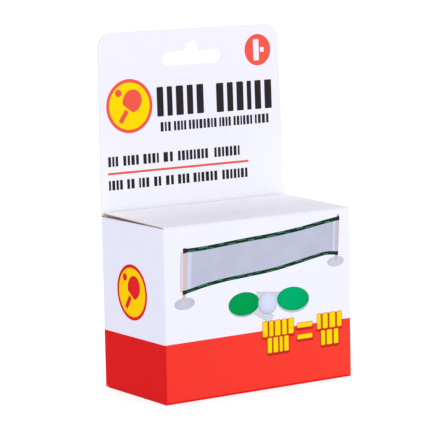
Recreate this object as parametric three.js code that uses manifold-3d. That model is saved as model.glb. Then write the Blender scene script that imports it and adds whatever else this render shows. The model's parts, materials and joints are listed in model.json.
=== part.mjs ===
// A boxed miniature table tennis set: a folding carton with a hang-hole header, and the set inside it.
// Millimetres, +Z up. The origin is the centre of the carton's base, and the printed front faces -Y.
import * as THREE from 'three';
import { mergeVertices } from 'three/addons/utils/BufferGeometryUtils.js';
import Module from 'manifold-3d';

const wasm = await Module();
wasm.setup();

const degrees = THREE.MathUtils.degToRad;

// --- Driving dimensions ---------------------------------------------------------------------------

// Carton
const WIDTH = 100;
const DEPTH = 51.5;
const HEIGHT = 78; // base to the lid's front crease
const BOARD = 0.45; // thickness of the folding boxboard
const CREASE = 0.3; // gap between two panels where the board folds
const GLUE_LINE = 0.1; // gap between two glued layers
const SIDE_TOP = 77.2; // top of the closed upper dust flaps
const DUST_REST = BOARD + CREASE; // the lower dust flaps lie this high, on the bottom panel
const SEAM_WIDTH = 14; // the glue flap that closes the sleeve
const SEAM_TAPER = 6;

// Header with its hang hole: the back wall runs up into its rear layer, and its front layer comes back
// down inside the wall, where it is glued
const HEADER_HEIGHT = 81.4;
const HEADER_TAIL = 22; // how far the front layer reaches below the lid
const HEADER_TAPER = 1.25; // each side is this much further in at the top
const HEADER_CORNER = 7.3;
const HEADER_LEAN = degrees(1.28);
const SLOT_CENTRE = 1;
const SLOT_BOTTOM = 65; // above the header's foot
const SLOT_WIDTH = 32.2;
const SLOT_BAR = 6.2;
const SLOT_HEIGHT = 10.7; // bar and hump together
const SLOT_HUMP = 8.2;
const ROUND_END = 0.4975; // corner radius as a share of the width: a hair of straight edge is left

// Closures
const LID_LENGTH = 50.2;
const LID_REST_TILT = degrees(1.65); // the closed lid stands a little proud at the back
const TUCK_WIDTH = 87;
const TUCK_DEPTH = 13;
const TUCK_CORNER = 6;
const TUCK_TAPER = 1.5;
const TUCK_LEAN = degrees(18); // inwards, so that the flap clears the back wall as it comes out
const DUST_LENGTH = 30;
const DUST_FRONT_GAP = 5.5; // from the front wall's face to the flap
const DUST_MITRE = 0.53; // how fast the front edge runs back along the flap
const DUST_CORNER = 4;
const DUST_BACK = 21.05; // the back edge stops here, clear of the tuck flap
const DUST_SHOULDER = 5.5; // length of the wider root beside the tuck flap
const DUST_STEP = 1; // the shoulder's edge slants in by this much

// Bats
const BLADE_WIDTH = 44;
const BLADE_LENGTH = 47;
const BAT_LENGTH = 72;
const CORE = 2.4;
const RUBBER = 1;
const RUBBER_INSET = 1.2;
const HANDLE_WIDTH = 10;
const HANDLE_THICKNESS = 5;
const HANDLE_FOOT_CORNER = 2.5;
const HANDLE_TOP_CORNER = 1.5;
const HANDLE_TAPER = 0.8; // width at the blade as a share of the width at the foot
const THROAT = 7; // the rubber ends this far from the blade's foot

// Ball, posts and suction cups
const BALL_DIAMETER = 25;
const POST_DIAMETER = 4;
const POST_TOP = 68; // above the suction cup's rim
const POST_CHAMFER = 0.7;
const CUP_DIAMETER = 27;
const CUP_HEIGHT = 10;
const CUP_HOLLOW = 3;
const CUP_LIP = 0.6; // height of the rim's edge
const CUP_NECK = 4.6; // radius of the socket's wall
const CUP_NECK_FOOT = 6; // where the neck leaves the dome
const SOCKET_FLOOR = 4.6;
const CLEARANCE = 0.3;

// Net, rolled round both posts
const NET_BOTTOM = 16; // above the suction cup's rim
const NET_HEIGHT = 48;
const NET_THICKNESS = 0.35;
const TAPE_WIDTH = 3;
const TAPE_THICKNESS = 0.6;
const HEM_WALL = 0.6;
const ROLL_PITCH = 0.9;
const ROLL_TURNS = 3.5;

// Where the set stands in the carton
const SHELF = DUST_REST + BOARD + CLEARANCE; // just above the lower dust flaps
const BALL_X = 32;
const BAT_X = -24;
const BAT_FRONT_Y = -22;
const BAT_STEP_Y = 5.2;
const POST_Y = 4.5;
const POST_X = [-32, -3];

// --- Materials ------------------------------------------------------------------------------------

function material(color, roughness, metalness = 0) {
  return new THREE.MeshStandardMaterial({ color, roughness, metalness });
}

const printedBoard = material(0xf4f4f6, 0.35);
const headerBoard = material(0xf1f1f8, 0.35);
const flapBoard = material(0xb9a58e, 0.85);
const whitePlastic = material(0xe9e6da, 0.45);
const greenRubber = material(0x0a8f4e, 0.7);
const ballPlastic = material(0xf2f0f6, 0.4);
const postPlastic = material(0xd9bfae, 0.5);
const cupRubber = material(0xcfd3d4, 0.3);
const netting = material(0xb9b4c6, 0.9);
const tapeFabric = material(0x1d5a3a, 0.85);
const hemFabric = material(0xf0efee, 0.9);

// --- Helpers --------------------------------------------------------------------------------------

function named(name, geometry, finish, parent) {
  const mesh = new THREE.Mesh(geometry, finish);
  mesh.name = name;
  parent.add(mesh);
  return mesh;
}

function toManifold(geometry) {
  const bare = geometry.clone();
  bare.deleteAttribute('normal');
  bare.deleteAttribute('uv');
  const merged = mergeVertices(bare, 1e-5);
  const vertProperties = new Float32Array(merged.attributes.position.array);
  const triVerts = new Uint32Array(merged.index.array);
  return new wasm.Manifold(new wasm.Mesh({ numProp: 3, vertProperties, triVerts }));
}

function fromManifold(body) {
  const mesh = body.getMesh();
  const geometry = new THREE.BufferGeometry();
  geometry.setAttribute('position', new THREE.BufferAttribute(mesh.vertProperties, 3));
  geometry.setIndex(new THREE.BufferAttribute(mesh.triVerts, 1));
  geometry.computeVertexNormals();
  return geometry;
}

function sheet(outline, thickness, curveSegments = 6) {
  return new THREE.ExtrudeGeometry(outline, { depth: thickness, bevelEnabled: false, curveSegments });
}

// A closed outline through corners [x, y, radius], in counterclockwise order; every corner is convex
// or has no radius.
function roundedOutline(corners) {
  const shape = new THREE.Shape();
  const count = corners.length;
  for (let i = 0; i < count; i += 1) {
    const [x, y, radius] = corners[i];
    const corner = new THREE.Vector2(x, y);
    if (radius === 0 && i === 0) {
      shape.moveTo(x, y);
      continue;
    }
    if (radius === 0) {
      shape.lineTo(x, y);
      continue;
    }
    const [beforeX, beforeY] = corners[(i + count - 1) % count];
    const [afterX, afterY] = corners[(i + 1) % count];
    const toBefore = new THREE.Vector2(beforeX, beforeY).sub(corner).normalize();
    const toAfter = new THREE.Vector2(afterX, afterY).sub(corner).normalize();
    const halfAngle = Math.acos(toBefore.dot(toAfter)) / 2;
    const towardsCentre = toBefore.clone().add(toAfter).setLength(radius / Math.sin(halfAngle));
    const centre = corner.clone().add(towardsCentre);
    const run = radius / Math.tan(halfAngle);
    const entry = corner.clone().addScaledVector(toBefore, run).sub(centre);
    const exit = corner.clone().addScaledVector(toAfter, run).sub(centre);
    shape.absarc(centre.x, centre.y, radius, entry.angle(), exit.angle(), false);
  }
  shape.closePath();
  return shape;
}

function rectangle(x0, y0, x1, y1) {
  return roundedOutline([[x0, y0, 0], [x1, y0, 0], [x1, y1, 0], [x0, y1, 0]]);
}

// Stands a flat sheet up: its outline's y becomes height, and its thickness runs towards -Y.
function standUp(geometry, backY) {
  geometry.rotateX(Math.PI / 2);
  geometry.translate(0, backY, 0);
  return geometry;
}

const carton = new THREE.Group();

// --- Walls ----------------------------------------------------------------------------------------

const halfWidth = WIDTH / 2;
const halfDepth = DEPTH / 2;
const backInner = halfDepth - 2 * BOARD - GLUE_LINE;

function addFrontWall() {
  const outline = rectangle(-halfWidth, BOARD + CREASE, halfWidth, HEIGHT - BOARD - CREASE);
  named('front_panel', standUp(sheet(outline, BOARD), -halfDepth + BOARD), printedBoard, carton);
}

function addSideWall(name, side) {
  const front = -halfDepth + BOARD + CREASE;
  const back = backInner - CREASE;
  const bottom = DUST_REST + BOARD + CREASE;
  const wall = new THREE.BoxGeometry(BOARD, back - front, SIDE_TOP - BOARD - CREASE - bottom);
  const mesh = named(name, wall, printedBoard, carton);
  const middle = (bottom + SIDE_TOP - BOARD - CREASE) / 2;
  mesh.position.set(side * (halfWidth - BOARD / 2), (front + back) / 2, middle);
}

function hangHole() {
  const bar = roundedOutline([
    [SLOT_CENTRE - SLOT_WIDTH / 2, SLOT_BOTTOM, SLOT_BAR * ROUND_END],
    [SLOT_CENTRE + SLOT_WIDTH / 2, SLOT_BOTTOM, SLOT_BAR * ROUND_END],
    [SLOT_CENTRE + SLOT_WIDTH / 2, SLOT_BOTTOM + SLOT_BAR, SLOT_BAR * ROUND_END],
    [SLOT_CENTRE - SLOT_WIDTH / 2, SLOT_BOTTOM + SLOT_BAR, SLOT_BAR * ROUND_END],
  ]);
  const hump = roundedOutline([
    [SLOT_CENTRE - SLOT_HUMP / 2, SLOT_BOTTOM + SLOT_BAR / 2, 0],
    [SLOT_CENTRE + SLOT_HUMP / 2, SLOT_BOTTOM + SLOT_BAR / 2, 0],
    [SLOT_CENTRE + SLOT_HUMP / 2, SLOT_BOTTOM + SLOT_HEIGHT, SLOT_HUMP * ROUND_END],
    [SLOT_CENTRE - SLOT_HUMP / 2, SLOT_BOTTOM + SLOT_HEIGHT, SLOT_HUMP * ROUND_END],
  ]);
  const punchDepth = 3 * BOARD; // one thickness below the board and one above it
  const punch = [bar, hump].map((outline) => {
    const tool = sheet(outline, punchDepth);
    tool.translate(0, 0, -BOARD);
    return toManifold(tool);
  });
  return punch[0].add(punch[1]);
}

// The glue flap folds off the right side wall and is glued inside the back wall.
function addGlueFlap() {
  const bottom = DUST_REST + BOARD + CREASE;
  const top = HEIGHT - HEADER_TAIL - CREASE;
  const outline = roundedOutline([
    [halfWidth - SEAM_WIDTH, bottom + SEAM_TAPER, 0],
    [halfWidth - BOARD - CREASE, bottom, 0],
    [halfWidth - BOARD - CREASE, top, 0],
    [halfWidth - SEAM_WIDTH, top - SEAM_TAPER, 0],
  ]);
  named('glue_flap', standUp(sheet(outline, BOARD), backInner + BOARD), flapBoard, carton);
}

// One back layer: an upright wall, and a header above it that leans back about its foot.
function addBackLayer(name, frontY, bottom) {
  const topHalf = halfWidth - HEADER_TAPER;
  const outline = roundedOutline([
    [-halfWidth, 0, 0],
    [halfWidth, 0, 0],
    [topHalf, HEADER_HEIGHT, HEADER_CORNER],
    [-topHalf, HEADER_HEIGHT, HEADER_CORNER],
  ]);
  const flat = toManifold(sheet(outline, BOARD)).subtract(hangHole());
  const header = standUp(fromManifold(flat), BOARD);
  header.rotateX(-HEADER_LEAN);
  header.translate(0, frontY, HEIGHT);
  const wall = new THREE.BoxGeometry(WIDTH, BOARD, HEIGHT - bottom);
  wall.translate(0, frontY + BOARD / 2, (HEIGHT + bottom) / 2);
  const whole = toManifold(header).add(toManifold(wall));
  named(name, fromManifold(whole), headerBoard, carton);
}

// --- Closures -------------------------------------------------------------------------------------

// A tuck flap stands up (way = 1) or hangs down (way = -1) from its crease, with its outer face at y = 0.
function tuckGeometry(way) {
  const half = TUCK_WIDTH / 2;
  const corners = [
    [-half, 0, 0],
    [half, 0, 0],
    [half - TUCK_TAPER, way * TUCK_DEPTH, TUCK_CORNER],
    [-half + TUCK_TAPER, way * TUCK_DEPTH, TUCK_CORNER],
  ];
  if (way < 0) {
    corners.reverse();
  }
  return standUp(sheet(roundedOutline(corners), BOARD), 0);
}

function addTopClosure() {
  const hinge = new THREE.Group();
  hinge.position.set(0, -halfDepth, HEIGHT);
  hinge.rotation.x = LID_REST_TILT;
  carton.add(hinge);
  const half = halfWidth - CREASE;
  const lid = sheet(rectangle(-half, 0, half, LID_LENGTH), BOARD);
  lid.translate(0, 0, -BOARD);
  named('lid_panel', lid, printedBoard, hinge);
  const tuck = named('lid_tuck_flap', tuckGeometry(-1), flapBoard, hinge);
  tuck.position.set(0, LID_LENGTH, -BOARD - CREASE);
  tuck.rotation.x = -TUCK_LEAN;
}

function addBottomClosure() {
  const half = halfWidth - CREASE;
  const outline = rectangle(-half, -halfDepth, half, -halfDepth + LID_LENGTH);
  named('bottom_panel', sheet(outline, BOARD), printedBoard, carton);
  const tuck = named('bottom_tuck_flap', tuckGeometry(1), flapBoard, carton);
  tuck.position.set(0, -halfDepth + LID_LENGTH, BOARD + CREASE);
  tuck.rotation.x = TUCK_LEAN;
}

// A dust flap reaches inwards from its side wall; its mitred front edge lets it follow the lid.
function dustGeometry(side) {
  const front = -halfDepth + DUST_FRONT_GAP;
  const tipFront = front + DUST_MITRE * DUST_LENGTH;
  const root = side * halfWidth;
  const tip = side * (halfWidth - DUST_LENGTH);
  const shoulder = side * (halfWidth - DUST_SHOULDER);
  const corners = [
    [root, front, 0],
    [root, backInner - CREASE, 0],
    [shoulder, backInner - CREASE, 0],
    [shoulder - side * DUST_STEP, DUST_BACK, 0],
    [tip, DUST_BACK, DUST_CORNER],
    [tip, tipFront, DUST_CORNER],
  ];
  if (side < 0) {
    corners.reverse();
  }
  return sheet(roundedOutline(corners), BOARD);
}

function addDustFlap(name, side, bottom) {
  const flap = named(name, dustGeometry(side), flapBoard, carton);
  flap.position.z = bottom;
}

// --- The set inside -------------------------------------------------------------------------------

function bladeShape(inset) {
  const shape = new THREE.Shape();
  shape.absellipse(0, 0, BLADE_WIDTH / 2 - inset, BLADE_LENGTH / 2 - inset, 0, 2 * Math.PI, false, 0);
  return shape;
}

function centredSheet(outline, thickness, segments) {
  const geometry = sheet(outline, thickness, segments);
  geometry.translate(0, 0, -thickness / 2);
  return geometry;
}

const handleFoot = BLADE_LENGTH / 2 - BAT_LENGTH; // below the blade's centre

function coreGeometry() {
  const blade = toManifold(centredSheet(bladeShape(0), CORE, 22));
  const half = HANDLE_WIDTH / 2;
  const handleTop = -BLADE_LENGTH / 2 + THROAT - RUBBER_INSET;
  const handleOutline = roundedOutline([
    [-half, handleFoot, HANDLE_FOOT_CORNER],
    [half, handleFoot, HANDLE_FOOT_CORNER],
    [half * HANDLE_TAPER, handleTop, HANDLE_TOP_CORNER],
    [-half * HANDLE_TAPER, handleTop, HANDLE_TOP_CORNER],
  ]);
  const handle = toManifold(centredSheet(handleOutline, HANDLE_THICKNESS, 4));
  return fromManifold(blade.add(handle));
}

function rubberGeometry(face) {
  const whole = toManifold(centredSheet(bladeShape(RUBBER_INSET), RUBBER, 22));
  const cutter = new THREE.BoxGeometry(BLADE_WIDTH, THROAT, 4 * RUBBER);
  cutter.translate(0, -BLADE_LENGTH / 2 + THROAT / 2, 0);
  const geometry = fromManifold(whole.subtract(toManifold(cutter)));
  geometry.translate(0, 0, face * (CORE / 2 + GLUE_LINE + RUBBER / 2));
  return geometry;
}

// A bat stands on its handle or, turned over, on its blade; its faces look along Y.
function addBat(prefix, y, handleUp) {
  const bat = new THREE.Group();
  const foot = handleUp ? BLADE_LENGTH / 2 : -handleFoot;
  bat.position.set(BAT_X, y, SHELF + foot);
  bat.rotation.set(Math.PI / 2, 0, handleUp ? Math.PI : 0, 'YXZ');
  carton.add(bat);
  named(`${prefix}_core`, coreGeometry(), whitePlastic, bat);
  named(`${prefix}_front_rubber`, rubberGeometry(1), greenRubber, bat);
  named(`${prefix}_back_rubber`, rubberGeometry(-1), greenRubber, bat);
}

function addBall() {
  const radius = BALL_DIAMETER / 2;
  const ball = named('ball', new THREE.SphereGeometry(radius, 28, 16), ballPlastic, carton);
  ball.position.set(BALL_X, 0, SHELF + radius);
  ball.rotation.x = Math.PI / 2;
}

function lathe(profile, segments) {
  const points = profile.map(([r, z]) => new THREE.Vector2(r, z));
  const geometry = new THREE.LatheGeometry(points, segments);
  geometry.rotateX(Math.PI / 2);
  return geometry;
}

const postRadius = POST_DIAMETER / 2;
const socketRadius = postRadius + CLEARANCE;

// A round stretch of a turned profile: a cubic curve through (radius, height) control points.
function profileCurve(start, pullStart, pullEnd, end, steps) {
  const points = [start, pullStart, pullEnd, end].map(([r, z]) => new THREE.Vector2(r, z));
  return new THREE.CubicBezierCurve(...points).getPoints(steps).map(({ x, y }) => [x, y]);
}

function cupGeometry() {
  const rim = CUP_DIAMETER / 2;
  const sealEdge = rim * 0.95;
  const hollow = profileCurve(
    [0, CUP_HOLLOW],
    [rim * 0.5, CUP_HOLLOW],
    [rim * 0.75, CUP_HOLLOW * 0.5],
    [sealEdge, 0],
    5,
  );
  const dome = profileCurve(
    [rim, CUP_LIP],
    [rim * 0.8, CUP_HOLLOW + CUP_LIP],
    [CUP_NECK * 1.4, CUP_HOLLOW + 2 * CUP_LIP],
    [CUP_NECK, CUP_NECK_FOOT],
    5,
  );
  const chamfer = 0.4;
  return lathe([
    ...hollow,
    [rim, 0],
    ...dome,
    [CUP_NECK, CUP_HEIGHT - chamfer],
    [CUP_NECK - chamfer, CUP_HEIGHT],
    [socketRadius, CUP_HEIGHT],
    [socketRadius, SOCKET_FLOOR],
    [0, SOCKET_FLOOR],
  ], 28);
}

function postGeometry() {
  return lathe([
    [0, SOCKET_FLOOR + CLEARANCE],
    [postRadius, SOCKET_FLOOR + CLEARANCE],
    [postRadius, POST_TOP - POST_CHAMFER],
    [postRadius - POST_CHAMFER, POST_TOP],
    [0, POST_TOP],
  ], 16);
}

const hemInner = postRadius + CLEARANCE;
const hemOuter = hemInner + HEM_WALL;

function hemGeometry() {
  return lathe([
    [hemInner, NET_BOTTOM],
    [hemOuter, NET_BOTTOM],
    [hemOuter, NET_BOTTOM + NET_HEIGHT],
    [hemInner, NET_BOTTOM + NET_HEIGHT],
    [hemInner, NET_BOTTOM],
  ], 16);
}

// The middle line of the rolled net: a spiral out of one roll, a straight run, a spiral into the other.
function rollLine(offset) {
  const stepsPerTurn = 16;
  const steps = ROLL_TURNS * stepsPerTurn;
  const innerRadius = hemOuter + CLEARANCE + TAPE_THICKNESS / 2;
  const line = [];
  for (let i = 0; i <= steps; i += 1) {
    const turn = i / stepsPerTurn;
    const radius = innerRadius + ROLL_PITCH * turn + offset;
    const angle = Math.PI / 2 + 2 * Math.PI * (ROLL_TURNS - turn);
    line.push([POST_X[0] + radius * Math.cos(angle), POST_Y + radius * Math.sin(angle)]);
  }
  const middle = (POST_X[0] + POST_X[1]) / 2;
  const mirrored = line.map(([x, y]) => [2 * middle - x, y]).reverse();
  return line.concat(mirrored);
}

function rolledBand(thickness, bottom, height) {
  const outer = rollLine(thickness / 2);
  const inner = rollLine(-thickness / 2).reverse();
  const points = outer.concat(inner).map(([x, y]) => new THREE.Vector2(x, y));
  const geometry = sheet(new THREE.Shape(points), height);
  geometry.translate(0, 0, SHELF + bottom);
  return geometry;
}

function addNetSet() {
  ['left', 'right'].forEach((side, index) => {
    const place = new THREE.Group();
    place.position.set(POST_X[index], POST_Y, SHELF);
    carton.add(place);
    named(`post_${side}`, postGeometry(), postPlastic, place);
    named(`suction_cup_${side}`, cupGeometry(), cupRubber, place);
    named(`net_${side}_hem`, hemGeometry(), hemFabric, place);
  });
  const tapeTop = NET_BOTTOM + NET_HEIGHT - TAPE_WIDTH;
  const meshBottom = NET_BOTTOM + TAPE_WIDTH + CLEARANCE;
  const meshHeight = NET_HEIGHT - 2 * (TAPE_WIDTH + CLEARANCE);
  named('net_mesh', rolledBand(NET_THICKNESS, meshBottom, meshHeight), netting, carton);
  named('net_top_tape', rolledBand(TAPE_THICKNESS, tapeTop, TAPE_WIDTH), tapeFabric, carton);
  named('net_bottom_tape', rolledBand(TAPE_THICKNESS, NET_BOTTOM, TAPE_WIDTH), tapeFabric, carton);
}

// --- Assembly -------------------------------------------------------------------------------------

addFrontWall();
addSideWall('left_side_panel', -1);
addSideWall('right_side_panel', 1);
addBackLayer('back_panel', halfDepth - BOARD, 0);
addBackLayer('header_panel', backInner, HEIGHT - HEADER_TAIL);
addGlueFlap();
addTopClosure();
addDustFlap('top_left_dust_flap', -1, SIDE_TOP - BOARD);
addDustFlap('top_right_dust_flap', 1, SIDE_TOP - BOARD);
addBottomClosure();
addDustFlap('bottom_left_dust_flap', -1, DUST_REST);
addDustFlap('bottom_right_dust_flap', 1, DUST_REST);
addBat('bat_1', BAT_FRONT_Y, true);
addBat('bat_2', BAT_FRONT_Y + BAT_STEP_Y, false);
addBall();
addNetSet();

export default carton;
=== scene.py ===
"""Looks for the boxed miniature table tennis set: a printed folding carton and the set inside it.

Sizes are in millimetres until a mesh is made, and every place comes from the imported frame. The print on
each panel is drawn as flat regions cut into the board's own mesh, so its edges stay crisp.
"""
import json
from itertools import accumulate
from math import asin, atan2, ceil, cos, degrees, dist, hypot, pi, radians, sin, sqrt, tan

import bmesh
import bpy
import numpy as np
from mathutils import Euler, Matrix, Vector
from mathutils.geometry import delaunay_2d_cdt


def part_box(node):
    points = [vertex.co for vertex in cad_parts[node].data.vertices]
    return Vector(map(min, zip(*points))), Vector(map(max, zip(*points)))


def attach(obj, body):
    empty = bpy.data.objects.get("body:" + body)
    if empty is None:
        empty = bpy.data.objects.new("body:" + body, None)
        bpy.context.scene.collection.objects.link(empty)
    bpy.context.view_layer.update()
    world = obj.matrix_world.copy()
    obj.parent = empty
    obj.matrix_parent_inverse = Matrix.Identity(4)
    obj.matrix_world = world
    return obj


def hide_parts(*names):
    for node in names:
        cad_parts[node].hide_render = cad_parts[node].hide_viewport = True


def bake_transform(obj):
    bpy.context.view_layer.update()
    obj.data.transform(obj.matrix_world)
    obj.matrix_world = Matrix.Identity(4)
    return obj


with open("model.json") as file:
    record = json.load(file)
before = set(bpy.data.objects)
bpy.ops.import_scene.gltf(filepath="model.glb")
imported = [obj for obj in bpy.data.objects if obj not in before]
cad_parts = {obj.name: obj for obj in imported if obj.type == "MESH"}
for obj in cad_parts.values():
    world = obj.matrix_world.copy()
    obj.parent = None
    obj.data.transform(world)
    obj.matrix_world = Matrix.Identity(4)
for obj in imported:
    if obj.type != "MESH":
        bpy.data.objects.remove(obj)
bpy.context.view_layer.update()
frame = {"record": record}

MM = 0.001
PRINT_ROUGHNESS = 0.42
scene = bpy.context.scene


def linked(name, data):
    """A new object in the scene."""
    made = bpy.data.objects.new(name, data)
    scene.collection.objects.link(made)
    return made


def box_mm(node):
    """A node's lowest and highest corner in millimetres."""
    low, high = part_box(node)
    return Vector(low) / MM, Vector(high) / MM


def middle(node):
    """A node's centre in millimetres."""
    low, high = box_mm(node)
    return [(a + b) / 2 for a, b in zip(low, high)]


def half_width(node):
    """Half of a node's width in millimetres."""
    low, high = box_mm(node)
    return (high.x - low.x) / 2


# --- Sizes from the frame ---

front_low, front_high = box_mm("front_panel")
header_low, _ = box_mm("header_panel")
dust_low, dust_high = box_mm("top_left_dust_flap")
low_dust_low, _ = box_mm("bottom_left_dust_flap")
seam_low, seam_high = box_mm("glue_flap")

joints = {j["name"]: j for j in frame["record"]["behaviour"]["joints"]}
lid_axis = Vector(joints["lid_hinge"]["pos_m"]) / MM

HALF_WIDTH = front_high.x
FRONT_Y = front_low.y
BACK_Y = -FRONT_Y
BOARD = front_high.y - front_low.y
HEIGHT = lid_axis.z
LID_TILT = radians(1.65)
LID_LENGTH = 50.2
TUCK_TURN = radians(90 + 18)
TUCK_DEPTH = 13
HEADER_Y = header_low.y
HEADER_LEAN = radians(1.28)
HEADER_HEIGHT = 81.4
HEADER_TAPER = 1.25
HEADER_CORNER = 7.3
SIDE_TOP = dust_high.z - 0.3  # the side walls end here, and their dust flaps' folds begin
SIDE_FOOT = low_dust_low.z + 0.45

FRONT_LEFT_FOLD, FRONT_RIGHT_FOLD, REAR_FOLD = 0.9, 0.55, 0.5  # outer radii of the upright folds
LID_FOLD = 0.8
TUCK_FOLD = 0.7
DUST_FOLD = 0.46
DUST_REACH, DUST_MITRE = 30, 0.53  # how far a dust flap reaches in, and how far its front edge slants
FOLD_START = 1.0  # a moving flap's strip starts this far from its crease, on the wall


# --- Materials ---


def linear(rgb):
    """Linear colour from 0-255 sRGB."""
    shares = [value / 255 for value in rgb]
    return (*(c / 12.92 if c <= 0.04045 else ((c + 0.055) / 1.055) ** 2.4 for c in shares), 1.0)


def scaled(colour, factor):
    return (*(min(1.0, c * factor) for c in colour[:3]), 1.0)


class Nodes:
    """Short names for making and joining a material's nodes."""

    def __init__(self, name):
        self.material = bpy.data.materials.new(name)
        self.material.use_nodes = True
        self.tree = self.material.node_tree
        self.surface = self.tree.nodes["Principled BSDF"]
        self.coordinates = self.add("ShaderNodeTexCoord").outputs["Object"]

    def add(self, kind, inputs=None, **settings):
        node = self.tree.nodes.new(kind)
        for key, value in settings.items():
            setattr(node, key, value)
        for key, value in (inputs or {}).items():
            self.put(value, node.inputs[key])
        return node

    def put(self, value, socket):
        if isinstance(value, bpy.types.NodeSocket):
            self.tree.links.new(value, socket)
        else:
            socket.default_value = value

    def noise(self, scale, detail=3.0, vector=None):
        inputs = {"Vector": vector or self.coordinates, "Scale": scale, "Detail": detail}
        return self.add("ShaderNodeTexNoise", inputs).outputs["Fac"]

    def mapped(self, value, low, high, out_low, out_high):
        inputs = {0: value, 1: low, 2: high, 3: out_low, 4: out_high}
        return self.add("ShaderNodeMapRange", inputs).outputs[0]

    def mix(self, factor, first, second):
        inputs = {"Factor": factor, 6: first, 7: second}
        return self.add("ShaderNodeMix", inputs, data_type="RGBA").outputs[2]

    def math(self, operation, first, second=0.0):
        return self.add("ShaderNodeMath", {0: first, 1: second}, operation=operation).outputs[0]

    def spread(self, value, out_low=0.0, out_high=1.0):
        """A noise's usual range, stretched to the one given."""
        return self.mapped(value, 0.3, 0.7, out_low, out_high)

    def vector(self, operation, *inputs, output=0):
        made = self.add("ShaderNodeVectorMath", dict(enumerate(inputs)), operation=operation)
        return made.outputs[output]

    def threads(self, first, second, pitch):
        """Two crossed sets of threads, a pitch in millimetres apart."""
        turn = 2 * pi / (pitch * MM)
        waves = [self.math("SINE", self.math("MULTIPLY", place, turn)) for place in (first, second)]
        return self.mapped(self.math("MAXIMUM", *waves), -0.2, 1.0, 0.0, 1.0)

    def bump(self, height, strength, distance):
        inputs = {"Height": height, "Strength": strength, "Distance": distance}
        self.put(self.add("ShaderNodeBump", inputs).outputs[0], self.surface.inputs["Normal"])

    def finished(self, colour, roughness, **others):
        """Sets the surface, whose other inputs are named with _ for a space, and gives the material."""
        others.update(Base_Color=colour, Roughness=roughness)
        for key, value in others.items():
            self.put(value, self.surface.inputs[key.replace("_", " ")])
        return self.material


def printed(name, rgb, shine=0.1, fade=None):
    """Ink on coated board. A fade is a centre (mm, in the carton's frame), the axes along which the colour
    shades away from there, the colour it reaches, how far away (mm), and a power that delays it. In the
    printed picture a fade is the picture's own shading; on the header, the lid and the front's red it is
    painted light and shade.
    """
    n = Nodes(name)
    ink = linear(rgb)
    colour = n.mix(n.spread(n.noise(700, 4.0)), scaled(ink, 0.988), scaled(ink, 1.012))
    if fade:
        centre, axes, edge_rgb, radius, power = fade
        moved = n.vector("ADD", n.coordinates, tuple(-c * MM for c in centre))
        away = n.vector("LENGTH", n.vector("MULTIPLY", moved, axes), output="Value")
        share = n.math("POWER", n.mapped(away, 0.0, radius * MM, 0.0, 1.0), power)
        colour = n.mix(share, colour, linear(edge_rgb))
    n.bump(n.noise(2600, 2.0), 0.06, 0.00002)
    gloss = n.spread(n.noise(260, 2.0), PRINT_ROUGHNESS - 0.04, PRINT_ROUGHNESS + 0.05)
    return n.finished(colour, gloss, Specular_IOR_Level=shine)


def fibrous(name, rgb, streak=0.10):
    """Uncoated board: fibres drawn out along one way, with a few darker flecks."""
    n = Nodes(name)
    base = linear(rgb)
    stretched = n.add("ShaderNodeMapping", {"Vector": n.coordinates, "Scale": (1.0, 3.0, 3.0)}).outputs[0]
    fibres = n.noise(500, 6.0, stretched)
    flecks = n.mapped(n.noise(1500, 2.0, stretched), 0.62, 0.72, 0.0, 0.6)
    shade = n.mix(n.spread(fibres), scaled(base, 1 - streak), scaled(base, 1 + streak))
    n.bump(fibres, 0.25, 0.00004)
    return n.finished(n.mix(flecks, shade, scaled(base, 0.72)), 0.85, Specular_IOR_Level=0.2)


def woven_print(name, dark, light, pitch):
    """A printed picture of fine netting: two crossed sets of threads, with cloudy light and dark."""
    n = Nodes(name)
    parts = n.add("ShaderNodeSeparateXYZ", {0: n.coordinates}).outputs
    threads = n.math("MULTIPLY", n.threads(parts["X"], parts["Z"], pitch), 0.55)
    clouds = n.mapped(n.noise(110, 3.0), 0.35, 0.65, -0.05, 0.05)
    share = n.math("ADD", threads, n.math("ADD", clouds, 0.22))
    return n.finished(n.mix(share, linear(dark), linear(light)), PRINT_ROUGHNESS, Specular_IOR_Level=0.1)


def moulded(name, rgb, roughness, grain=0.15, transmission=0.0, subsurface=0.0):
    """Moulded plastic or rubber with a fine texture and faint colour drift."""
    n = Nodes(name)
    base = linear(rgb)
    colour = n.mix(n.spread(n.noise(90, 3.0)), scaled(base, 0.95), scaled(base, 1.04))
    n.bump(n.noise(3500, 2.0), grain, 0.00003)
    return n.finished(
        colour,
        n.spread(n.noise(800, 3.0), roughness - 0.05, roughness + 0.07),
        Transmission_Weight=transmission,
        Subsurface_Weight=subsurface,
        Subsurface_Scale=0.002,
    )


def cloth(name, dark, light, pitch, slant=0.0):
    """Woven fabric, whose threads follow the cloth; slanted stripes make a braid of it."""
    n = Nodes(name)
    along = n.add("ShaderNodeAttribute", attribute_name="weave").outputs["Vector"]
    parts = n.add("ShaderNodeSeparateXYZ", {0: along}).outputs
    lean = n.math("ADD", parts["X"], n.math("MULTIPLY", parts["Y"], slant))
    threads = n.threads(lean, parts["Y"], pitch)
    share = n.math("MULTIPLY", threads, n.spread(n.noise(400, 3.0), 0.75, 1.0))
    n.bump(threads, 0.5, 0.00008)
    return n.finished(n.mix(share, linear(dark), linear(light)), 0.9, Sheen_Weight=0.3)


def pimpled(name, rgb, pitch):
    """Bat rubber: rows of fine pimples under a matt surface."""
    n = Nodes(name)
    base = linear(rgb)
    inputs = {"Vector": n.coordinates, "Scale": 1000 / pitch, "Randomness": 0.25}
    cells = n.add("ShaderNodeTexVoronoi", inputs)
    dots = n.mapped(cells.outputs["Distance"], 0.15, 0.45, 1.0, 0.0)
    shade = n.mix(n.spread(n.noise(120, 3.0)), scaled(base, 0.9), scaled(base, 1.08))
    n.bump(dots, 0.5, 0.00012)
    return n.finished(n.mix(dots, scaled(base, 0.85), shade), n.spread(n.noise(900, 2.0), 0.62, 0.8))


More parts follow.
